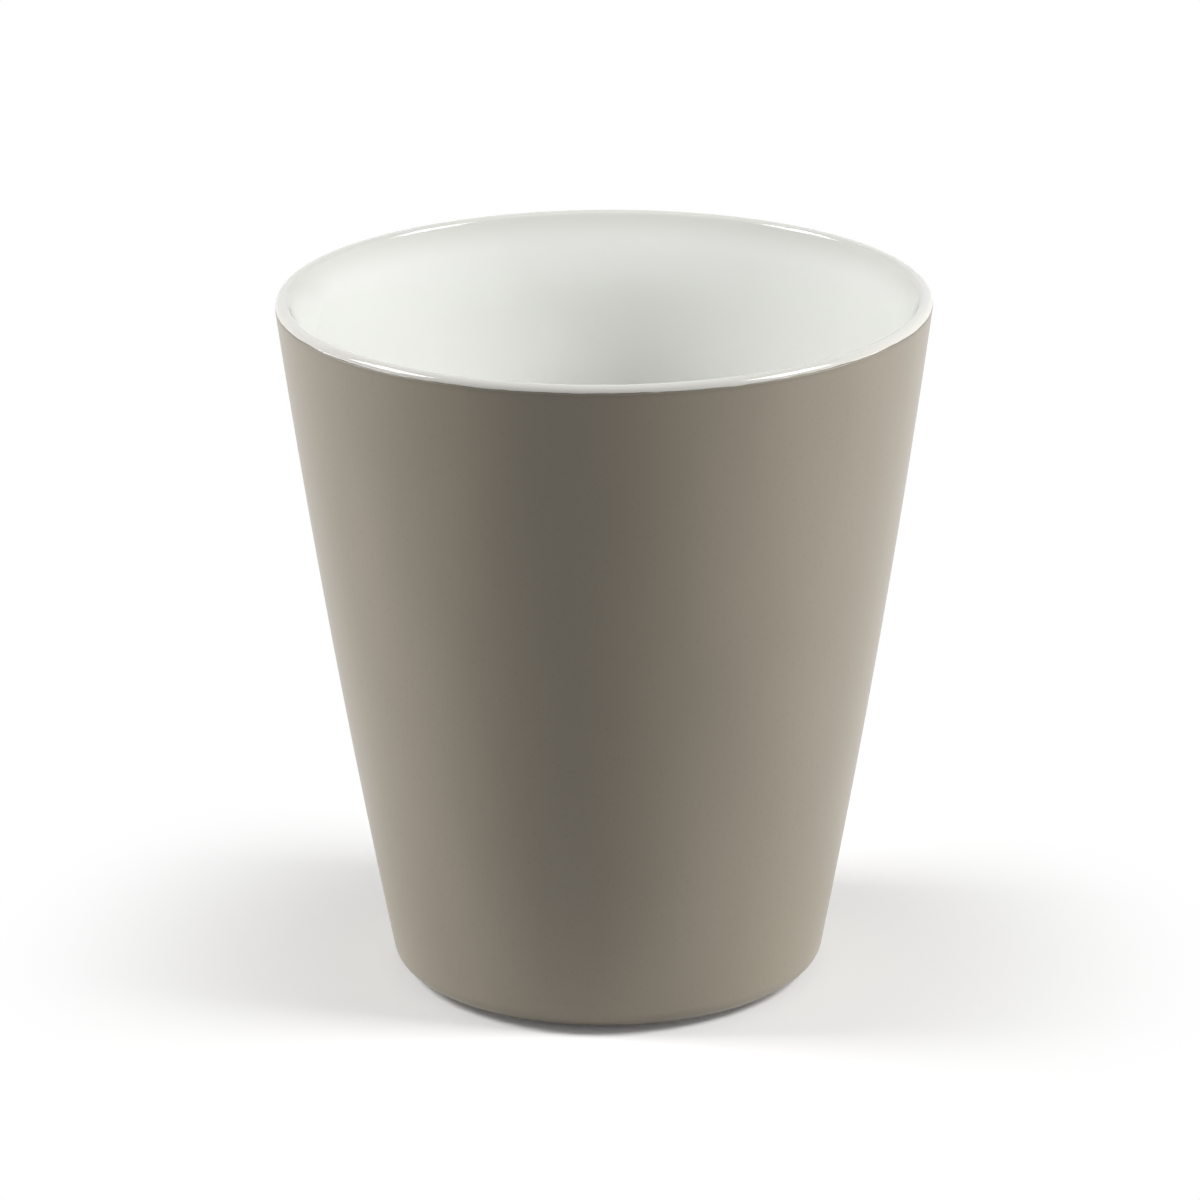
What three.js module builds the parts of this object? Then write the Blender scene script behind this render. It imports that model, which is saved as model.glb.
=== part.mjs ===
// A handleless porcelain cup: one fired clay body under three separate coats of glaze.
// Lengths are in millimetres and +Z is up. The origin is the middle of the plane that the foot rests on.
// Everything is turned about +Z, so each piece is a profile of (radius, height) points and a revolve.
import * as THREE from "three";

// Overall form
const CUP_HEIGHT = 91; // resting plane to the crown of the lip
const RIM_DIAMETER = 84; // over the glazed lip, which is the widest place
const UNDERSIDE_DIAMETER = 51; // where the curve of the heel runs out into the flat underside
const WALL_BOW_RADIUS = 1500; // long curve that gives the leaning wall its slight belly

// Wall, lip, heel and floor, all measured over the glaze
const LIP_OUTER_RADIUS = 1.3; // from the outer wall up to the lip's crown
const LIP_INNER_RADIUS = 2.2; // a gentler curve, from the crown down to the inner wall
const WALL_THICKNESS = 3.2; // above the heel, from where the wall thickens a little towards the lip
const HEEL_RADIUS = 2.8;
const FLOOR_THICKNESS = 4.2; // roof of the foot well to the inner floor
const FLOOR_CORNER_RADIUS = 9; // inside, where the wall turns into the floor

// Foot ring, wiped bare of glaze
const FOOT_INSET = 2; // from the edge of the underside in to the foot's outer face
const FOOT_WIDTH = 3;
const FOOT_HEIGHT = 0.8; // resting plane to the glazed underside of the heel
const FOOT_EDGE_RADIUS = 0.35;
const WELL_DEPTH = 1.8; // hollow inside the foot ring, up to its glazed roof
const WELL_CORNER_RADIUS = 0.8;

// Glaze
const GLAZE_THICKNESS = 0.3;
const COLOUR_LINE_ANGLE = 25; // degrees above the lip's equator, where colour gives way to white

// Fineness of the revolve and of each arc in the profiles
const TURN_STEPS = 60;
const WALL_STEPS = 4;
const CORNER_STEPS = 5;
const LIP_STEPS = 4;
const EDGE_STEPS = 2;
const SHORT_STEPS = 1; // for an arc of a few degrees
const SAME_POINT = 1e-6;

// Finishes
const BARE_CLAY = { color: 0xe4dfd4, roughness: 0.7, metalness: 0 };
const TAUPE_SATIN = { color: 0x8a8172, roughness: 0.38, metalness: 0 };
const WHITE_GLOSS = { color: 0xeceee8, roughness: 0.08, metalness: 0 };

const DOWN = -Math.PI / 2;
const UP = Math.PI / 2;
const OUTWARD = 0;
const INWARD = Math.PI;

const at = (radius, height) => new THREE.Vector2(radius, height);
const angleFrom = (centre, point) => Math.atan2(point.y - centre.y, point.x - centre.x);

// Points along a circular arc, both ends included
function arc(centre, radius, from, to, steps) {
  return new THREE.ArcCurve(centre.x, centre.y, radius, from, to, to < from).getPoints(steps);
}

// Runs of points joined end to end, with the point that two runs share kept once
function chain(...runs) {
  const points = runs.flat();
  return points.filter((point, i) => i === 0 || point.distanceTo(points[i - 1]) > SAME_POINT);
}

// The place at the given distances from two points, on the side towards the cup's axis.
// An arc about it can then be tangent to circles about both points.
function placeInside(lower, lowerDistance, upper, upperDistance) {
  const span = lower.distanceTo(upper);
  const along = (span ** 2 + lowerDistance ** 2 - upperDistance ** 2) / (2 * span);
  const aside = Math.sqrt(lowerDistance ** 2 - along ** 2);
  const direction = upper.clone().sub(lower).divideScalar(span);
  return at(
    lower.x + direction.x * along - direction.y * aside,
    lower.y + direction.y * along + direction.x * aside,
  );
}

// Circles that set the wall's section: heel and lip outside, brim and floor corner inside.
// The lip and the brim meet at the crown.
const lip = at(RIM_DIAMETER / 2 - LIP_OUTER_RADIUS, CUP_HEIGHT - LIP_OUTER_RADIUS);
const brim = at(lip.x, CUP_HEIGHT - LIP_INNER_RADIUS);
const heel = at(UNDERSIDE_DIAMETER / 2, FOOT_HEIGHT + HEEL_RADIUS);
const outerBow = placeInside(
  heel,
  WALL_BOW_RADIUS - HEEL_RADIUS,
  lip,
  WALL_BOW_RADIUS - LIP_OUTER_RADIUS,
);

// The floor corner touches a curve that runs one wall thickness inside the outer wall
const floorHeight = WELL_DEPTH + FLOOR_THICKNESS;
const cornerHeight = floorHeight + FLOOR_CORNER_RADIUS;
const cornerReach = WALL_BOW_RADIUS - WALL_THICKNESS - FLOOR_CORNER_RADIUS;
const cornerRadius = outerBow.x + Math.sqrt(cornerReach ** 2 - (cornerHeight - outerBow.y) ** 2);
const corner = at(cornerRadius, cornerHeight);
const innerBow = placeInside(
  corner,
  WALL_BOW_RADIUS - FLOOR_CORNER_RADIUS,
  brim,
  WALL_BOW_RADIUS + LIP_INNER_RADIUS,
);

// Directions in which neighbouring arcs touch
const heelTouch = angleFrom(outerBow, heel);
const lipTouch = angleFrom(outerBow, lip);
const brimTouch = angleFrom(brim, innerBow);
const innerBowTop = angleFrom(innerBow, brim);
const cornerTouch = angleFrom(innerBow, corner);
const colourLine = THREE.MathUtils.degToRad(COLOUR_LINE_ANGLE);

// Foot ring and the hollow inside it
const footOuter = UNDERSIDE_DIAMETER / 2 - FOOT_INSET;
const footInner = footOuter - FOOT_WIDTH;
const wellCorner = at(
  footInner - GLAZE_THICKNESS - WELL_CORNER_RADIUS,
  WELL_DEPTH - WELL_CORNER_RADIUS,
);

// Each outline is given at a depth under the glazed surface: 0 is the glaze, GLAZE_THICKNESS the clay

// From the foot round the heel and up the wall to the colour line on the lip
function outsideOutline(depth) {
  return chain(
    [at(footOuter, FOOT_HEIGHT + depth)],
    arc(heel, HEEL_RADIUS - depth, DOWN, heelTouch, CORNER_STEPS),
    arc(outerBow, WALL_BOW_RADIUS - depth, heelTouch, lipTouch, WALL_STEPS),
    arc(lip, LIP_OUTER_RADIUS - depth, lipTouch, OUTWARD, SHORT_STEPS),
    arc(lip, LIP_OUTER_RADIUS - depth, OUTWARD, colourLine, EDGE_STEPS),
  );
}

// From the colour line over the lip and down the inside to the middle of the floor
function insideOutline(depth) {
  return chain(
    arc(lip, LIP_OUTER_RADIUS - depth, colourLine, UP, LIP_STEPS),
    arc(brim, LIP_INNER_RADIUS - depth, UP, brimTouch, LIP_STEPS),
    arc(innerBow, WALL_BOW_RADIUS + depth, innerBowTop, cornerTouch, WALL_STEPS),
    arc(corner, FLOOR_CORNER_RADIUS + depth, cornerTouch, DOWN, CORNER_STEPS),
    [at(0, floorHeight - depth)],
  );
}

// From the middle of the well's roof out to where its glaze stops on the foot ring
function wellOutline(depth) {
  return chain(
    [at(0, WELL_DEPTH + depth)],
    arc(wellCorner, WELL_CORNER_RADIUS + depth, UP, OUTWARD, EDGE_STEPS),
  );
}

// The bare foot ring, from its inner face under the flat it rests on to the edge of the colour
function footOutline() {
  const innerEdge = at(footInner + FOOT_EDGE_RADIUS, FOOT_EDGE_RADIUS);
  const outerEdge = at(footOuter - FOOT_EDGE_RADIUS, FOOT_EDGE_RADIUS);
  return chain(
    arc(innerEdge, FOOT_EDGE_RADIUS, INWARD, INWARD + UP, EDGE_STEPS),
    arc(outerEdge, FOOT_EDGE_RADIUS, DOWN, OUTWARD, EDGE_STEPS),
    [at(footOuter, FOOT_HEIGHT)],
  );
}

// A closed solid turned about +Z from a profile that runs counter-clockwise
function revolve(name, profile, finish) {
  const geometry = new THREE.LatheGeometry(profile, TURN_STEPS);
  geometry.rotateX(Math.PI / 2); // a lathe turns about +Y
  const mesh = new THREE.Mesh(geometry, new THREE.MeshStandardMaterial(finish));
  mesh.name = name;
  return mesh;
}

// Wall, floor, lip and foot ring in one piece of clay
function porcelainBody() {
  const profile = chain(
    wellOutline(GLAZE_THICKNESS),
    footOutline(),
    outsideOutline(GLAZE_THICKNESS),
    insideOutline(GLAZE_THICKNESS),
  );
  return revolve("porcelain_body", profile, BARE_CLAY);
}

// A loop of points cut open where it runs along the axis, or else brought back to its start
function openedAtAxis(loop) {
  const start = loop.findIndex((point, i) => point.x === 0 && loop.at(i - 1).x === 0);
  return start < 0 ? [...loop, loop[0]] : [...loop.slice(start), ...loop.slice(0, start)];
}

// A coat lies between the glazed outline and the clay outline under it
function coat(name, outline, finish) {
  const loop = [...outline(0), ...outline(GLAZE_THICKNESS).reverse()];
  return revolve(name, openedAtAxis(loop), finish);
}

const cup = new THREE.Group();
cup.add(
  porcelainBody(),
  coat("outer_colour_glaze", outsideOutline, TAUPE_SATIN),
  coat("inner_white_glaze", insideOutline, WHITE_GLOSS),
  coat("underside_glaze", wellOutline, WHITE_GLOSS),
);

export default cup;
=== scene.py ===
"""Finished surfaces of a handleless porcelain cup, built as an add-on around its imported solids."""

import math

import bmesh
import bpy
from bpy.props import FloatProperty, FloatVectorProperty, IntProperty, PointerProperty
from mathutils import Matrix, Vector, noise


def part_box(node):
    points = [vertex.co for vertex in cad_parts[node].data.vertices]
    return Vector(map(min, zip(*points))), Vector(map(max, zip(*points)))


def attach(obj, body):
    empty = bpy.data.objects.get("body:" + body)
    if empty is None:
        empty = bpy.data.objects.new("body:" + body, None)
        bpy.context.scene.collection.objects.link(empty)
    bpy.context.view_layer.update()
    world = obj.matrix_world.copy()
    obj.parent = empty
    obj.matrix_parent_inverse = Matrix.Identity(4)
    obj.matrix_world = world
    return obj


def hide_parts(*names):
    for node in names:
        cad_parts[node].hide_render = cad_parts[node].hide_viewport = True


bl_info = {
    "name": "Handleless Cup",
    "version": (1, 0, 0),
    "blender": (4, 5, 0),
    "location": "3D View > Sidebar > Cup",
    "description": "Builds the clay and the glazes of a handleless cup, and a studio to show it in",
    "category": "Add Mesh",
}

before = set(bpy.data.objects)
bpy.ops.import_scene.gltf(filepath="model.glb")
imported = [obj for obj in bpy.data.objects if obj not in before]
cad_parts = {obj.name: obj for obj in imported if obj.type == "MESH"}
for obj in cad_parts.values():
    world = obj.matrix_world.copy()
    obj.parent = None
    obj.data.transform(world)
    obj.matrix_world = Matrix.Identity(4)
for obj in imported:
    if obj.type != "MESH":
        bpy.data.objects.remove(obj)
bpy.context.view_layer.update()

# Heights and radii that the solids give, in metres
OUTER_LOW, OUTER_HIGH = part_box("outer_colour_glaze")
INNER_LOW, INNER_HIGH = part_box("inner_white_glaze")
WELL_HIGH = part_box("underside_glaze")[1]
BODY_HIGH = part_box("porcelain_body")[1]
GLAZE = OUTER_HIGH.x - BODY_HIGH.x
RIM_RADIUS = OUTER_HIGH.x
CUP_HEIGHT = INNER_HIGH.z
FOOT_HEIGHT = OUTER_LOW.z
FLOOR_HEIGHT = INNER_LOW.z + GLAZE
WELL_DEPTH = WELL_HIGH.z - GLAZE
FOOT_INNER = WELL_HIGH.x

DOWN = -math.pi / 2
UP = math.pi / 2
OUTWARD = 0.0
INWARD = math.pi
MM = 0.001

# How the colour line wanders round the lip: two noises, each with its own size and slice
SLOW_WANDER = 6
SLOW_SLICE = 0.7
QUICK_WANDER = 22
QUICK_SLICE = 4.1
QUICK_SHARE = 0.8

# Depths of the bands in the finishes
# Painted shade: depth of the darkened band under the colour line
RIM_SHADE_DEPTH = 1.2 * MM
HEM_DEPTH = 0.5 * MM
WORN_DEPTH = 0.15 * MM

SHARP_ANGLE = math.radians(40)

# Studio, in metres, and in parts of a unit direction for the room
SENSOR_WIDTH = 36
LAMP_DISTANCE = 1.2
STRIP_DISTANCE = 0.4
STRIP_WIDTH = 0.32
STRIP_BELOW_RIM = 6 * MM
CEILING_START = 0.45
CEILING_FULL = 0.85
LIGHT_EDGE = 0.2
FLOOR_RADIUS = 6
FLOOR_SEGMENTS = 128
FLOOR_SHADE = 0.95
DIM_FLOOR_END = -0.1
BRIGHT_FLOOR_START = 0.06


class CupShape(bpy.types.PropertyGroup):
    """Sizes of the turned section that the boxes of the solids don't give"""

    underside_diameter: FloatProperty(
        name="Underside diameter",
        description="Where the curve of the heel runs out into the flat underside",
        default=51 * MM,
        unit="LENGTH",
    )
    wall_bow_radius: FloatProperty(
        name="Wall bow radius",
        description="Long curve that gives the leaning wall its slight belly",
        default=1500 * MM,
        unit="LENGTH",
    )
    lip_outer_radius: FloatProperty(
        name="Lip outer radius",
        description="From the outer wall up to the crown of the lip",
        default=1.0 * MM,
        unit="LENGTH",
    )
    lip_inner_radius: FloatProperty(
        name="Lip inner radius",
        description="From the crown of the lip over to the flare of the inner wall",
        default=0.8 * MM,
        unit="LENGTH",
    )
    flare_angle: FloatProperty(
        name="Flare angle",
        description="How far the inner wall leans out from upright just under the lip",
        default=math.radians(24),
        subtype="ANGLE",
    )
    flare_radius: FloatProperty(
        name="Flare radius",
        description="Curve that takes the inner wall from the lean at the lip to the lean of the wall",
        default=40 * MM,
        unit="LENGTH",
    )
    wall_thickness: FloatProperty(
        name="Wall thickness",
        description="Thickness of the wall where it rises from the floor",
        default=3.2 * MM,
        unit="LENGTH",
    )
    heel_radius: FloatProperty(
        name="Heel radius",
        description="Outer curve from the wall to the underside",
        default=2.8 * MM,
        unit="LENGTH",
    )
    floor_corner_radius: FloatProperty(
        name="Floor corner radius",
        description="Inner curve from the wall to the floor",
        default=9 * MM,
        unit="LENGTH",
    )
    foot_inset: FloatProperty(
        name="Foot inset",
        description="From the edge of the underside in to the outer face of the foot",
        default=2 * MM,
        unit="LENGTH",
    )
    foot_edge_radius: FloatProperty(
        name="Foot edge radius",
        description="Rounding of the two edges of the bare foot ring",
        default=0.35 * MM,
        unit="LENGTH",
    )
    well_corner_radius: FloatProperty(
        name="Well corner radius",
        description="Curve from the roof of the foot well to the foot ring",
        default=0.8 * MM,
        unit="LENGTH",
    )
    line_angle: FloatProperty(
        name="Line angle",
        description="How far up the curve of the lip the colour line runs, from the widest place",
        default=math.radians(8),
        subtype="ANGLE",
    )
    line_wander: FloatProperty(
        name="Line wander",
        description="How far the colour line strays up and down on the lip",
        default=0.09 * MM,
        unit="LENGTH",
    )
    bead_radius: FloatProperty(
        name="Bead radius",
        description="Rounding of a coat where it stops",
        default=0.1 * MM,
        unit="LENGTH",
    )
    turns: IntProperty(
        name="Turn steps",
        description="Steps round the cup in each coat",
        default=560,
    )


class CupFinish(bpy.types.PropertyGroup):
    """Colours and gloss of the clay and the glazes"""

    taupe: FloatVectorProperty(
        name="Taupe glaze",
        description="Colour of the satin coat on the outside",
        subtype="COLOR",
        default=(0.252, 0.219, 0.168),
    )
    taupe_roughness: FloatProperty(
        name="Taupe roughness",
        description="Mean roughness of the satin coat",
        subtype="FACTOR",
        default=0.32,
    )
    white: FloatVectorProperty(
        name="White glaze",
        description="Colour of the glossy coats inside and underneath",
        subtype="COLOR",
        default=(0.84, 0.847, 0.815),
    )
    # Painted shade: a darker white for the lip, standing in for the shade on the lip
    lip_shade_white: FloatVectorProperty(
        name="Lip shade white",
        description="Colour of the white glaze on the lip, darkened as painted shade",
        subtype="COLOR",
        default=(0.54, 0.525, 0.485),
    )
    lip_shade_depth: FloatProperty(
        name="Spray depth",
        description="How far the painted shade on the lip reaches from the colour line",
        default=5 * MM,
        unit="LENGTH",
    )
    liner_roughness: FloatProperty(
        name="Liner roughness",
        description="Mean roughness of the white coat inside",
        subtype="FACTOR",
        default=0.06,
    )
    liner_pinholes: FloatProperty(
        name="Liner pinholes",
        description="Share of the speck cells inside that hold a pinhole",
        subtype="FACTOR",
        default=0.002,
    )
    underside_roughness: FloatProperty(
        name="Underside roughness",
        description="Mean roughness of the white coat in the foot",
        subtype="FACTOR",
        default=0.12,
    )
    underside_pinholes: FloatProperty(
        name="Underside pinholes",
        description="Share of the speck cells in the foot that hold a pinhole",
        subtype="FACTOR",
        default=0.03,
    )
    clay: FloatVectorProperty(
        name="Bare clay",
        description="Colour of the foot ring, which is wiped bare",
        subtype="COLOR",
        default=(0.74, 0.69, 0.60),
    )


class CupStudio(bpy.types.PropertyGroup):
    """Camera, lamps and floor"""

    camera_distance: FloatProperty(
        name="Camera distance",
        description="From the camera to the middle of the cup",
        default=0.80,
        unit="LENGTH",
    )
    camera_elevation: FloatProperty(
        name="Camera elevation",
        description="How far the camera looks down",
        default=math.radians(18.9),
        subtype="ANGLE",
    )
    camera_roll: FloatProperty(
        name="Camera roll",
        description="Small tilt of the camera about its line of sight",
        default=math.radians(-0.39),
        subtype="ANGLE",
    )
    camera_lens: FloatProperty(
        name="Focal length",
        description="Focal length on a 36 mm sensor, in millimetres",
        default=184.5,
    )
    aim_side: FloatProperty(
        name="Aim to the side",
        description="The camera aims this far to the right of the cup's middle",
        default=-0.77 * MM,
        unit="LENGTH",
    )
    aim_rise: FloatProperty(
        name="Aim above",
        description="The camera aims this far above the cup's middle, across the line of sight",
        default=3.94 * MM,
        unit="LENGTH",
    )
    left_turn: FloatProperty(
        name="Left lamp turn",
        description="Where the left softbox stands, from the camera's side towards the right",
        default=math.radians(-92),
        subtype="ANGLE",
    )
    right_turn: FloatProperty(
        name="Right lamp turn",
        description="Where the right softbox stands, from the camera's side towards the right",
        default=math.radians(77),
        subtype="ANGLE",
    )
    lamp_elevation: FloatProperty(
        name="Lamp elevation",
        description="How high both softboxes stand, seen from the cup",
        default=math.radians(40),
        subtype="ANGLE",
    )
    lamp_width: FloatProperty(
        name="Lamp width",
        description="Width of each softbox",
        default=0.5,
        unit="LENGTH",
    )
    lamp_height: FloatProperty(
        name="Lamp height",
        description="Height of each softbox",
        default=0.45,
        unit="LENGTH",
    )
    left_power: FloatProperty(
        name="Left lamp",
        description="Power of the left softbox, in watts",
        default=10.7,
    )
    right_power: FloatProperty(
        name="Right lamp",
        description="Power of the right softbox, in watts",
        default=12.0,
    )
    left_strip_turn: FloatProperty(
        name="Left strip turn",
        description="Where the left strip stands, from the camera's side towards the right",
        default=math.radians(-89),
        subtype="ANGLE",
    )
    right_strip_turn: FloatProperty(
        name="Right strip turn",
        description="Where the right strip stands, from the camera's side towards the right",
        default=math.radians(81),
        subtype="ANGLE",
    )
    left_strip_power: FloatProperty(
        name="Left strip",
        description="Power of the left strip, in watts",
        default=0.77,
    )
    right_strip_power: FloatProperty(
        name="Right strip",
        description="Power of the right strip, in watts",
        default=0.91,
    )
    ambient: FloatProperty(
        name="Ambient light",
        description="Strength of the white room as a light, which comes from the camera's side",
        default=0.42,
    )
    ceiling: FloatProperty(
        name="Ceiling",
        description="Brightness of the room overhead, where its walls are white",
        default=0.1,
    )
    front_bounce: FloatProperty(
        name="Front bounce",
        description="How much light the floor throws back on the camera's side",
        default=0.05,
    )
    back_bounce: FloatProperty(
        name="Back bounce",
        description="How much light the floor throws back beside and behind the cup",
        default=0.85,
    )
    shadow_start: FloatProperty(
        name="Shadow start",
        description="Distance from the cup's axis where its shadow begins to fade into white",
        default=30 * MM,
        unit="LENGTH",
    )
    shadow_end: FloatProperty(
        name="Shadow end",
        description="Distance from the cup's axis where the floor is white",
        default=85 * MM,
        unit="LENGTH",
    )


# Section of the cup


def at(radius, height):
    return Vector((radius, height))


def angle_from(centre, point):
    return math.atan2(point.y - centre.y, point.x - centre.x)


def arc(centre, radius, start, end, steps):
    """Points along a circular arc, both ends included."""
    angles = (start + (end - start) * i / steps for i in range(steps + 1))
    return [centre + radius * Vector((math.cos(a), math.sin(a))) for a in angles]


def chain(*runs):
    """Runs of points joined end to end, with the point that two runs share kept once."""
    points = [runs[0][0]]
    for run in runs:
        points += [p for p in run if (p - points[-1]).length > 1e-9]
    return points


def place_inside(lower, lower_distance, upper, upper_distance):
    """The place at these distances from two points, on the side towards the cup's axis."""
    span = (upper - lower).length
    along = (span**2 + lower_distance**2 - upper_distance**2) / (2 * span)
    aside = math.sqrt(lower_distance**2 - along**2)
    direction = (upper - lower) / span
    return lower + along * direction + aside * Vector((-direction.y, direction.x))


class Section:
    """The turned section: circles at heel, lip, brim, flare and floor corner, and the long bows between."""

    HEEL_STEPS = 14
    WALL_STEPS = 24
    LIP_STEPS = 16
    FLARE_STEPS = 6
    CORNER_STEPS = 18
    EDGE_STEPS = 5

    def __init__(self, shape):
        self.shape = shape
        self.bow = shape.wall_bow_radius
        self.lip_radius = shape.lip_outer_radius
        self.lip = at(RIM_RADIUS - self.lip_radius, CUP_HEIGHT - self.lip_radius)
        self.brim = at(self.lip.x, CUP_HEIGHT - shape.lip_inner_radius)
        self.heel = at(shape.underside_diameter / 2, FOOT_HEIGHT + shape.heel_radius)
        self.outer_bow = place_inside(
            self.heel, self.bow - shape.heel_radius, self.lip, self.bow - self.lip_radius
        )
        height = FLOOR_HEIGHT + shape.floor_corner_radius
        reach = self.bow - shape.wall_thickness - shape.floor_corner_radius
        aside = math.sqrt(reach**2 - (height - self.outer_bow.y) ** 2)
        self.corner = at(self.outer_bow.x + aside, height)
        self.flare_start = math.pi - shape.flare_angle
        lean = Vector((math.cos(self.flare_start), math.sin(self.flare_start)))
        self.flare = self.brim - (shape.flare_radius - shape.lip_inner_radius) * lean
        self.inner_bow = place_inside(
            self.corner,
            self.bow - shape.floor_corner_radius,
            self.flare,
            self.bow + shape.flare_radius,
        )
        self.line = shape.line_angle
        self.line_radius = self.lip.x + self.lip_radius * math.cos(self.line)
        self.line_height = self.lip.y + self.lip_radius * math.sin(self.line)
        self.foot_outer = shape.underside_diameter / 2 - shape.foot_inset
        self.well_corner = at(
            FOOT_INNER - GLAZE - shape.well_corner_radius, WELL_DEPTH - shape.well_corner_radius
        )

    def outside(self, depth, line):
        """From the foot round the heel and up the wall to an angle on the lip."""
        heel_touch = angle_from(self.outer_bow, self.heel)
        lip_touch = angle_from(self.outer_bow, self.lip)
        return chain(
            [at(self.foot_outer, FOOT_HEIGHT + depth)],
            arc(self.heel, self.shape.heel_radius - depth, DOWN, heel_touch, self.HEEL_STEPS),
            arc(self.outer_bow, self.bow - depth, heel_touch, lip_touch, self.WALL_STEPS),
            arc(self.lip, self.lip_radius - depth, lip_touch, line, self.LIP_STEPS),
        )

    def inside(self, depth, line):
        """From an angle on the lip over its crown and down the inside to the middle of the floor."""
        brim_radius = self.shape.lip_inner_radius - depth
        flare_radius = self.shape.flare_radius - depth
        flare_end = angle_from(self.flare, self.inner_bow)
        top = angle_from(self.inner_bow, self.flare)
        corner_touch = angle_from(self.inner_bow, self.corner)
        corner_radius = self.shape.floor_corner_radius + depth
        return chain(
            arc(self.lip, self.lip_radius - depth, line, UP, self.LIP_STEPS),
            arc(self.brim, brim_radius, UP, self.flare_start, self.LIP_STEPS),
            arc(self.flare, flare_radius, self.flare_start, flare_end, self.FLARE_STEPS),
            arc(self.inner_bow, self.bow + depth, top, corner_touch, self.WALL_STEPS),
            arc(self.corner, corner_radius, corner_touch, DOWN, self.CORNER_STEPS),
            [at(self.corner.x / 2, FLOOR_HEIGHT - depth), at(0, FLOOR_HEIGHT - depth)],
        )

    def well(self, depth):
        """From the middle of the well's roof out to the foot ring."""
        radius = self.shape.well_corner_radius + depth
        return chain(
            [at(0, WELL_DEPTH + depth), at(self.well_corner.x / 2, WELL_DEPTH + depth)],
            arc(self.well_corner, radius, UP, OUTWARD, self.EDGE_STEPS),
        )

    def foot(self):
        """The bare foot ring, from its inner face to its outer one."""
        edge = self.shape.foot_edge_radius
        inner = at(FOOT_INNER + edge, edge)
        outer = at(self.foot_outer - edge, edge)
        return chain(
            arc(inner, edge, INWARD, INWARD + UP, self.EDGE_STEPS),
            arc(outer, edge, DOWN, OUTWARD, self.EDGE_STEPS),
            [at(self.foot_outer, FOOT_HEIGHT)],
        )

    def line_at(self, turn):
        """Angle of the colour line on the lip, which wanders as it goes round."""
        around = Vector((math.cos(turn), math.sin(turn), 0))
        slow = noise.noise(SLOW_WANDER * around + Vector((0, 0, SLOW_SLICE)))
        quick = noise.noise(QUICK_WANDER * around + Vector((0, 0, QUICK_SLICE)))
        return self.line + (slow + QUICK_SHARE * quick) * self.shape.line_wander / self.lip_radius

    def bead(self, line, side):
        """Rounded edge of a coat at the colour line, from its surface in to its blunt face."""
        radius = self.shape.bead_radius
        reach = side * radius / self.lip_radius
        points = []
        for i in range(self.EDGE_STEPS + 1):
            turn = UP * i / self.EDGE_STEPS
            angle = line + reach * (1 - math.sin(turn))
            distance = self.lip_radius - radius * (1 - math.cos(turn))
            points.append(self.lip + distance * Vector((math.cos(angle), math.sin(angle))))
        return points


def turned_mesh(name, section_at, turns):
    """A closed solid turned about Z, from a section that may differ at each angle."""
    bm = bmesh.new()
    poles = {}
    rings = []
    for i in range(turns):
        angle = 2 * math.pi * i / turns
        ring = []
        for k, point in enumerate(section_at(angle)):
            place = (point.x * math.cos(angle), point.x * math.sin(angle), point.y)
            if point.x > 0:
                ring.append(bm.verts.new(place))
                continue
            if k not in poles:
                poles[k] = bm.verts.new(place)
            ring.append(poles[k])
        rings.append(ring)
    # A section that starts and ends on the axis stays open there, and any other closes on itself
    first = 0 if poles else -1
    for here, there in zip(rings, rings[1:] + rings[:1]):
        for k in range(first, len(here) - 1):
            corners = [here[k], there[k], there[k + 1], here[k + 1]]
            bm.faces.new(dict.fromkeys(corners))
    bmesh.ops.recalc_face_normals(bm, faces=bm.faces)
    mesh = bpy.data.meshes.new(name)
    bm.to_mesh(mesh)
    bm.free()
    mesh.shade_smooth()
    mesh.set_sharp_from_angle(angle=SHARP_ANGLE)
    return mesh


def place_piece(name, mesh, material, node):
    """Puts a piece in the place of its solid."""
    piece = bpy.data.objects.new(name, mesh)
    bpy.context.scene.collection.objects.link(piece)
    mesh.materials.append(material)
    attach(piece, "root")
    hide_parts(node)
    return piece


# Finishes


def add_node(tree, kind, inputs, **settings):
    """A shader node with its settings, and its inputs linked to a socket or set to a value."""
    node = tree.nodes.new("ShaderNode" + kind)
    for name, value in settings.items():
        setattr(node, name, value)
    for key, value in inputs.items():
        if isinstance(value, bpy.types.NodeSocket):
            tree.links.new(value, node.inputs[key])
        else:
            node.inputs[key].default_value = value
    return node


def maths(tree, operation, *values):
    return add_node(tree, "Math", dict(enumerate(values)), operation=operation).outputs[0]


def smooth_step(tree, value, start, end):
    """0 at the start and 1 at the end, whichever of them is larger."""
    limits = {"Value": value, "From Min": start, "From Max": end}
    return add_node(tree, "MapRange", limits, interpolation_type="SMOOTHSTEP").outputs["Result"]


def mix_colours(tree, share, first, second):
    return add_node(tree, "Mix", {0: share, 6: first, 7: second}, data_type="RGBA").outputs[2]


def blend_in(tree, colour, mask, strength, other):
    """A colour with some of another where a mask says."""
    return mix_colours(tree, maths(tree, "MULTIPLY", mask, strength), colour, other)


def noise_cloud(tree, place, scale, detail, roughness):
    settings = {"Vector": place, "Scale": scale, "Detail": detail, "Roughness": roughness}
    return add_node(tree, "TexNoise", settings).outputs["Fac"]


def new_group(name, inputs, outputs):
    """An empty shader node group with named sockets: a place and values in, values out."""
    tree = bpy.data.node_groups.new(name, "ShaderNodeTree")
    for label in inputs:
        kind = "NodeSocketVector" if label == "Place" else "NodeSocketFloat"
        tree.interface.new_socket(label, in_out="INPUT", socket_type=kind)
    for label in outputs:
        tree.interface.new_socket(label, in_out="OUTPUT", socket_type="NodeSocketFloat")
    return tree, tree.nodes.new("NodeGroupInput").outputs, tree.nodes.new("NodeGroupOutput").inputs


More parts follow.
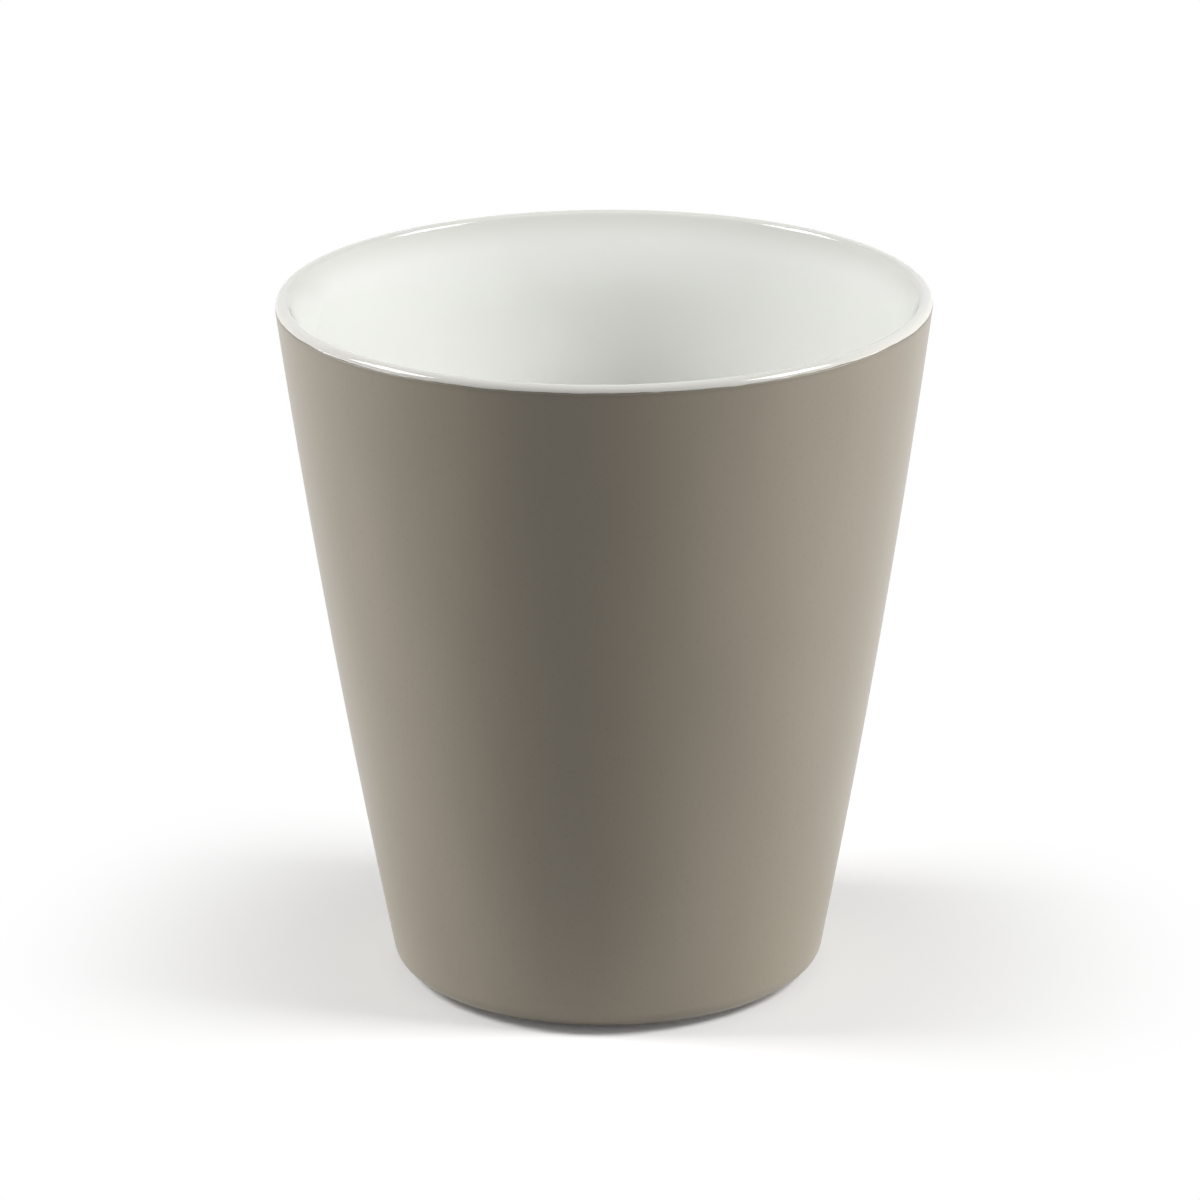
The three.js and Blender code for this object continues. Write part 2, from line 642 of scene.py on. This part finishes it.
def glaze_flow_group(name):
    """Clouds and ripples of a glaze that ran a little as it melted, longer down the wall than across."""
    tree, given, result = new_group(name, ("Place", "Scale", "Run"), ("Cloud", "Ripple"))
    squeeze = maths(tree, "DIVIDE", 1.0, given["Run"])
    stretch = add_node(tree, "CombineXYZ", {"X": 1.0, "Y": 1.0, "Z": squeeze}).outputs[0]
    place = add_node(tree, "VectorMath", {0: given["Place"], 1: stretch}, operation="MULTIPLY").outputs[0]
    cloud = noise_cloud(tree, place, given["Scale"], 2.0, 0.5)
    tree.links.new(smooth_step(tree, cloud, 0.25, 0.75), result["Cloud"])
    finer = maths(tree, "MULTIPLY", given["Scale"], 3.3)
    tree.links.new(noise_cloud(tree, place, finer, 1.0, 0.4), result["Ripple"])
    return tree


def fine_grain_group(name):
    """The tooth of a satin glaze or of bare clay."""
    tree, given, result = new_group(name, ("Place", "Scale"), ("Grain",))
    grain = noise_cloud(tree, given["Place"], given["Scale"], 3.0, 0.65)
    tree.links.new(smooth_step(tree, grain, 0.3, 0.7), result["Grain"])
    return tree


def specks_group(name):
    """Scattered dots, one at most in each cell, in the given share of the cells."""
    tree, given, result = new_group(name, ("Place", "Scale", "Share", "Radius"), ("Speck",))
    cells = add_node(tree, "TexVoronoi", {"Vector": given["Place"], "Scale": given["Scale"]}).outputs
    draw = add_node(tree, "SeparateColor", {"Color": cells["Color"]}).outputs["Red"]
    chosen = maths(tree, "LESS_THAN", draw, given["Share"])
    core = maths(tree, "MULTIPLY", given["Radius"], 0.4)
    dot = smooth_step(tree, cells["Distance"], given["Radius"], core)
    tree.links.new(maths(tree, "MULTIPLY", dot, chosen), result["Speck"])
    return tree


def height_band_group(name):
    """1 at a height on the cup, falling to 0 over the given depth below or above it."""
    tree, given, result = new_group(name, ("Place", "Height", "Depth"), ("Band",))
    height = add_node(tree, "SeparateXYZ", {"Vector": given["Place"]}).outputs["Z"]
    apart = maths(tree, "ABSOLUTE", maths(tree, "SUBTRACT", height, given["Height"]))
    tree.links.new(smooth_step(tree, apart, given["Depth"], 0.0), result["Band"])
    return tree


def ring_band_group(name):
    """1 on a ring round the cup, falling to 0 over the given depth, fast at first and then slowly."""
    tree, given, result = new_group(name, ("Place", "Radius", "Height", "Depth"), ("Band",))
    spot = add_node(tree, "SeparateXYZ", {"Vector": given["Place"]}).outputs
    level = add_node(tree, "CombineXYZ", {"X": spot["X"], "Y": spot["Y"]}).outputs[0]
    radius = add_node(tree, "VectorMath", {0: level}, operation="LENGTH").outputs["Value"]
    across = maths(tree, "SUBTRACT", radius, given["Radius"])
    above = maths(tree, "SUBTRACT", spot["Z"], given["Height"])
    apart = add_node(tree, "CombineXYZ", {"X": across, "Y": above}).outputs[0]
    distance = add_node(tree, "VectorMath", {0: apart}, operation="LENGTH").outputs["Value"]
    limits = {"Value": distance, "From Min": given["Depth"], "From Max": 0.0}
    near = add_node(tree, "MapRange", limits).outputs["Result"]
    tree.links.new(maths(tree, "MULTIPLY", near, near), result["Band"])
    return tree


GROUPS = {
    "Glaze Flow": glaze_flow_group,
    "Fine Grain": fine_grain_group,
    "Specks": specks_group,
    "Height Band": height_band_group,
    "Ring Band": ring_band_group,
}


def use_group(tree, name, **values):
    """Places a shared node group in a material with its own values, and gives its outputs."""
    node = tree.nodes.new("ShaderNodeGroup")
    node.node_tree = bpy.data.node_groups.get(name) or GROUPS[name](name)
    for label, value in values.items():
        socket = node.inputs[label.capitalize()]
        if isinstance(value, bpy.types.NodeSocket):
            tree.links.new(value, socket)
        else:
            socket.default_value = value
    return node.outputs


def new_material(name):
    """A material with its Principled shader and the piece's own coordinates."""
    material = bpy.data.materials.new(name)
    material.use_nodes = True
    tree = material.node_tree
    shader = tree.nodes["Principled BSDF"]
    place = tree.nodes.new("ShaderNodeTexCoord").outputs["Object"]
    return material, tree, shader, place


def shade(colour, strength):
    """A colour made darker or lighter, as a shader takes it."""
    return (*(strength * channel for channel in colour), 1)


def grey(brightness):
    """A grey as a shader takes it."""
    return (brightness, brightness, brightness, 1)


def set_roughness(tree, shader, share, low, high):
    """Roughness that runs between two values with a mask."""
    node = add_node(tree, "MapRange", {"Value": share, "To Min": low, "To Max": high})
    tree.links.new(node.outputs["Result"], shader.inputs["Roughness"])


def add_relief(tree, shader, reliefs):
    """Fine relief from heights and how far each stands out, in metres."""
    below = None
    for height, distance in reliefs:
        inputs = {"Height": height, "Distance": distance}
        if below:
            inputs["Normal"] = below
        below = add_node(tree, "Bump", inputs).outputs["Normal"]
    tree.links.new(below, shader.inputs["Normal"])


def taupe_material(finish, section):
    """Satin taupe glaze: faint clouds, a fine mottle, and a dark rim just under the line, which is painted
    shade under the edge of the coat.
    """
    material, tree, shader, place = new_material("taupe_satin_glaze")
    flow = use_group(tree, "Glaze Flow", place=place, scale=70.0, run=2.5)
    grain = use_group(tree, "Fine Grain", place=place, scale=2600.0)["Grain"]
    mottle = use_group(tree, "Specks", place=place, scale=1500.0, share=0.35, radius=0.45)["Speck"]
    line = {"radius": section.line_radius, "height": section.line_height, "depth": RIM_SHADE_DEPTH}
    rim = use_group(tree, "Ring Band", place=place, **line)["Band"]
    hem = use_group(tree, "Height Band", place=place, height=FOOT_HEIGHT, depth=HEM_DEPTH)["Band"]
    colour = mix_colours(tree, flow["Cloud"], shade(finish.taupe, 0.965), shade(finish.taupe, 1.035))
    colour = blend_in(tree, colour, mottle, 0.16, shade(finish.taupe, 0.7))
    colour = blend_in(tree, colour, grain, 0.06, shade(finish.taupe, 1.3))
    # Painted shade: the taupe is darkened in a band under the colour line, standing in for the shade under
    # the coat's edge
    colour = blend_in(tree, colour, rim, 0.5, shade(finish.taupe, 0.6))
    # Darker in a thin band at the bottom of the heel, where the coat ends at the foot
    colour = blend_in(tree, colour, hem, 0.4, shade(finish.taupe, 0.7))
    tree.links.new(colour, shader.inputs["Base Color"])
    satin = finish.taupe_roughness
    set_roughness(tree, shader, flow["Cloud"], satin - 0.03, satin + 0.03)
    add_relief(tree, shader, [(flow["Ripple"], 0.012 * MM), (grain, 0.0016 * MM)])
    return material


def white_material(name, finish, section, roughness, pinholes):
    """Glossy white glaze: barely clouded and rippled, a few pinholes, and painted shade on the lip, a
    darker white near the colour line.
    """
    material, tree, shader, place = new_material(name)
    flow = use_group(tree, "Glaze Flow", place=place, scale=55.0, run=1.8)
    holes = use_group(tree, "Specks", place=place, scale=420.0, share=pinholes, radius=0.12)["Speck"]
    line = {"radius": section.line_radius, "height": section.line_height, "depth": finish.lip_shade_depth}
    lip_shade_band = use_group(tree, "Ring Band", place=place, **line)["Band"]
    colour = mix_colours(tree, flow["Cloud"], shade(finish.white, 0.985), shade(finish.white, 1.01))
    # Painted shade: the white is darkened on the lip near the colour line
    colour = mix_colours(tree, lip_shade_band, colour, shade(finish.lip_shade_white, 1.0))
    colour = blend_in(tree, colour, holes, 0.2, shade(finish.clay, 0.7))
    tree.links.new(colour, shader.inputs["Base Color"])
    set_roughness(tree, shader, flow["Ripple"], roughness - 0.02, roughness + 0.02)
    pits = maths(tree, "SUBTRACT", 1.0, holes)
    add_relief(tree, shader, [(flow["Ripple"], 0.01 * MM), (pits, 0.02 * MM)])
    return material


def clay_material(finish):
    """Bare fired clay: a dry tooth, sandy specks and the grey of use on the face that it stands on."""
    material, tree, shader, place = new_material("bare_porcelain")
    grain = use_group(tree, "Fine Grain", place=place, scale=2200.0)["Grain"]
    sand = use_group(tree, "Specks", place=place, scale=900.0, share=0.12, radius=0.3)["Speck"]
    worn = use_group(tree, "Height Band", place=place, height=0.0, depth=WORN_DEPTH)["Band"]
    colour = mix_colours(tree, grain, shade(finish.clay, 0.9), shade(finish.clay, 1.06))
    colour = blend_in(tree, colour, sand, 0.45, shade(finish.taupe, 1.0))
    colour = blend_in(tree, colour, worn, 0.35, shade(finish.clay, 0.72))
    tree.links.new(colour, shader.inputs["Base Color"])
    set_roughness(tree, shader, grain, 0.62, 0.82)
    add_relief(tree, shader, [(grain, 0.02 * MM), (sand, 0.015 * MM)])
    return material


# Pieces


class CUP_OT_clay_body(bpy.types.Operator):
    """Turn the clay body with its bare foot ring"""

    bl_idname = "cup.clay_body"
    bl_label = "Clay Body"

    def execute(self, context):
        section = Section(context.scene.cup_shape)
        points = chain(
            section.well(GLAZE),
            section.foot(),
            section.outside(GLAZE, section.line),
            section.inside(GLAZE, section.line),
        )
        mesh = turned_mesh("clay_body", lambda turn: points, context.scene.cup_shape.turns // 2)
        material = clay_material(context.scene.cup_finish)
        place_piece("clay_body", mesh, material, "porcelain_body")
        return {"FINISHED"}


class CUP_OT_taupe_coat(bpy.types.Operator):
    """Turn the satin coat of the outside, up to its wandering line on the lip"""

    bl_idname = "cup.taupe_coat"
    bl_label = "Taupe Coat"

    def execute(self, context):
        shape = context.scene.cup_shape
        section = Section(shape)

        def section_at(turn):
            line = section.line_at(turn)
            edge = section.bead(line, -1)
            stop = line - shape.bead_radius / section.lip_radius
            return chain(section.outside(0, stop), edge, section.outside(GLAZE, line)[::-1])

        mesh = turned_mesh("taupe_coat", section_at, shape.turns)
        material = taupe_material(context.scene.cup_finish, section)
        place_piece("taupe_coat", mesh, material, "outer_colour_glaze")
        return {"FINISHED"}


class CUP_OT_white_liner(bpy.types.Operator):
    """Turn the glossy coat of the inside, from the line on the lip to the floor"""

    bl_idname = "cup.white_liner"
    bl_label = "White Liner"

    def execute(self, context):
        shape = context.scene.cup_shape
        section = Section(shape)

        def section_at(turn):
            line = section.line_at(turn)
            edge = section.bead(line, 1)[::-1]
            start = line + shape.bead_radius / section.lip_radius
            return chain(section.inside(GLAZE, line)[::-1], edge, section.inside(0, start))

        mesh = turned_mesh("white_liner", section_at, shape.turns)
        finish = context.scene.cup_finish
        look = {"roughness": finish.liner_roughness, "pinholes": finish.liner_pinholes}
        material = white_material("white_gloss_glaze", finish, section, **look)
        place_piece("white_liner", mesh, material, "inner_white_glaze")
        return {"FINISHED"}


class CUP_OT_well_coat(bpy.types.Operator):
    """Turn the white coat in the hollow of the foot"""

    bl_idname = "cup.well_coat"
    bl_label = "Well Coat"

    def execute(self, context):
        shape = context.scene.cup_shape
        section = Section(shape)
        points = chain(section.well(0), section.well(GLAZE)[::-1])
        mesh = turned_mesh("well_coat", lambda turn: points, shape.turns // 2)
        finish = context.scene.cup_finish
        look = {"roughness": finish.underside_roughness, "pinholes": finish.underside_pinholes}
        material = white_material("white_underside_glaze", finish, section, **look)
        place_piece("well_coat", mesh, material, "underside_glaze")
        return {"FINISHED"}


# Studio


def aim(thing, target):
    """Turns a lamp or camera so that it looks at a point."""
    direction = target - thing.location
    thing.rotation_euler = direction.to_track_quat("-Z", "Y").to_euler()


def add_camera(studio):
    middle = Vector((0, 0, CUP_HEIGHT / 2))
    elevation = studio.camera_elevation
    back = Vector((0, -math.cos(elevation), math.sin(elevation)))
    rise = Vector((0, math.sin(elevation), math.cos(elevation)))
    data = bpy.data.cameras.new("camera")
    data.lens = studio.camera_lens
    data.sensor_width = SENSOR_WIDTH
    camera = bpy.data.objects.new("camera", data)
    bpy.context.scene.collection.objects.link(camera)
    camera.location = middle + studio.camera_distance * back
    aim(camera, middle + studio.aim_side * Vector((1, 0, 0)) + studio.aim_rise * rise)
    camera.rotation_euler.rotate_axis("Z", studio.camera_roll)
    bpy.context.scene.camera = camera


def add_lamp(name, place, target, width, height, power):
    """A flat lamp that faces a point."""
    data = bpy.data.lights.new(name, "AREA")
    data.shape = "RECTANGLE"
    data.size = width
    data.size_y = height
    data.energy = power
    lamp = bpy.data.objects.new(name, data)
    bpy.context.scene.collection.objects.link(lamp)
    lamp.location = place
    lamp.visible_camera = False
    aim(lamp, target)


def add_softbox(name, turn, studio, power):
    """A softbox up beside the cup: turn is measured from the camera's side towards the right."""
    level = LAMP_DISTANCE * math.cos(studio.lamp_elevation)
    rise = LAMP_DISTANCE * math.sin(studio.lamp_elevation)
    middle = Vector((0, 0, CUP_HEIGHT / 2))
    place = middle + Vector((level * math.sin(turn), -level * math.cos(turn), rise))
    add_lamp(name, place, middle, studio.lamp_width, studio.lamp_height, power)


def add_strip(name, turn, power):
    """A low strip beside the cup that ends under the rim, so it lights the wall and not the inside."""
    height = CUP_HEIGHT - STRIP_BELOW_RIM
    place = Vector((STRIP_DISTANCE * math.sin(turn), -STRIP_DISTANCE * math.cos(turn), CUP_HEIGHT / 2))
    add_lamp(name, place, Vector((0, 0, CUP_HEIGHT / 2)), STRIP_WIDTH, height, power)


def seen_directly(tree):
    """1 for camera, glossy and transmission rays, which show the backdrop, and 0 for light."""
    path = tree.nodes.new("ShaderNodeLightPath").outputs
    seen = maths(tree, "MAXIMUM", path["Is Camera Ray"], path["Is Glossy Ray"])
    return maths(tree, "MAXIMUM", seen, path["Is Transmission Ray"])


def set_world(studio):
    """A white room with a dim ceiling: it shows at full strength and lights only from the camera's side."""
    world = bpy.data.worlds.new("white_room")
    bpy.context.scene.world = world
    world.use_nodes = True
    tree = world.node_tree
    direction = tree.nodes.new("ShaderNodeTexCoord").outputs["Generated"]
    parts = add_node(tree, "SeparateXYZ", {"Vector": direction}).outputs
    overhead = smooth_step(tree, parts["Z"], CEILING_START, CEILING_FULL)
    room = mix_colours(tree, overhead, grey(1), grey(studio.ceiling))
    behind = smooth_step(tree, parts["Y"], -LIGHT_EDGE, LIGHT_EDGE)
    lit = mix_colours(tree, behind, room, grey(0))
    light = tree.nodes["Background"]
    tree.links.new(lit, light.inputs["Color"])
    light.inputs["Strength"].default_value = studio.ambient
    backdrop = add_node(tree, "Background", {"Color": room})
    ways = {"Fac": seen_directly(tree), 1: light.outputs[0], 2: backdrop.outputs[0]}
    mix = add_node(tree, "MixShader", ways)
    tree.links.new(mix.outputs[0], tree.nodes["World Output"].inputs["Surface"])


def floor_material(studio):
    """A pale floor that runs out to white, and throws little light back from the camera's side."""
    material, tree, shader, place = new_material("pale_floor")
    spot = add_node(tree, "SeparateXYZ", {"Vector": place}).outputs
    away = add_node(tree, "VectorMath", {0: place}, operation="LENGTH").outputs["Value"]
    seen = seen_directly(tree)
    behind = smooth_step(tree, spot["Y"], DIM_FLOOR_END, BRIGHT_FLOOR_START)
    bounce = mix_colours(tree, behind, grey(studio.front_bounce), grey(studio.back_bounce))
    colour = mix_colours(tree, seen, bounce, grey(FLOOR_SHADE))
    tree.links.new(colour, shader.inputs["Base Color"])
    shader.inputs["Roughness"].default_value = 1
    shader.inputs["Specular IOR Level"].default_value = 0
    far = smooth_step(tree, away, studio.shadow_start, studio.shadow_end)
    white = add_node(tree, "Emission", {"Color": grey(1), "Strength": 1.0})
    ways = {"Fac": maths(tree, "MULTIPLY", far, seen), 1: shader.outputs[0], 2: white.outputs[0]}
    mix = add_node(tree, "MixShader", ways)
    tree.links.new(mix.outputs[0], tree.nodes["Material Output"].inputs["Surface"])
    return material


def add_floor(studio):
    bm = bmesh.new()
    bmesh.ops.create_circle(bm, cap_ends=True, segments=FLOOR_SEGMENTS, radius=FLOOR_RADIUS)
    mesh = bpy.data.meshes.new("floor")
    bm.to_mesh(mesh)
    bm.free()
    floor = bpy.data.objects.new("floor", mesh)
    bpy.context.scene.collection.objects.link(floor)
    mesh.materials.append(floor_material(studio))


class CUP_OT_studio(bpy.types.Operator):
    """Set up the camera, the lamps, the white room and the pale floor"""

    bl_idname = "cup.studio"
    bl_label = "Studio"

    def execute(self, context):
        studio = context.scene.cup_studio
        context.scene.view_settings.view_transform = "Standard"
        add_camera(studio)
        add_floor(studio)
        set_world(studio)
        add_softbox("softbox_left", studio.left_turn, studio, studio.left_power)
        add_softbox("softbox_right", studio.right_turn, studio, studio.right_power)
        add_strip("strip_left", studio.left_strip_turn, studio.left_strip_power)
        add_strip("strip_right", studio.right_strip_turn, studio.right_strip_power)
        return {"FINISHED"}


class CUP_PT_sidebar(bpy.types.Panel):
    """Sizes, finishes and studio of the cup"""

    bl_idname = "CUP_PT_sidebar"
    bl_label = "Handleless Cup"
    bl_space_type = "VIEW_3D"
    bl_region_type = "UI"
    bl_category = "Cup"

    def draw(self, context):
        for group in (context.scene.cup_shape, context.scene.cup_finish, context.scene.cup_studio):
            box = self.layout.box()
            for name in group.__annotations__:
                box.prop(group, name)
        for operator in PIECES:
            self.layout.operator(operator.bl_idname)


PIECES = (CUP_OT_clay_body, CUP_OT_taupe_coat, CUP_OT_white_liner, CUP_OT_well_coat, CUP_OT_studio)
CLASSES = (CupShape, CupFinish, CupStudio, *PIECES, CUP_PT_sidebar)


def register():
    for cls in CLASSES:
        bpy.utils.register_class(cls)
    bpy.types.Scene.cup_shape = PointerProperty(type=CupShape)
    bpy.types.Scene.cup_finish = PointerProperty(type=CupFinish)
    bpy.types.Scene.cup_studio = PointerProperty(type=CupStudio)


def unregister():
    del bpy.types.Scene.cup_studio
    del bpy.types.Scene.cup_finish
    del bpy.types.Scene.cup_shape
    for cls in reversed(CLASSES):
        bpy.utils.unregister_class(cls)


def main():
    register()
    bpy.ops.cup.clay_body()
    bpy.ops.cup.taupe_coat()
    bpy.ops.cup.white_liner()
    bpy.ops.cup.well_coat()
    bpy.ops.cup.studio()


if __name__ == "__main__":
    main()
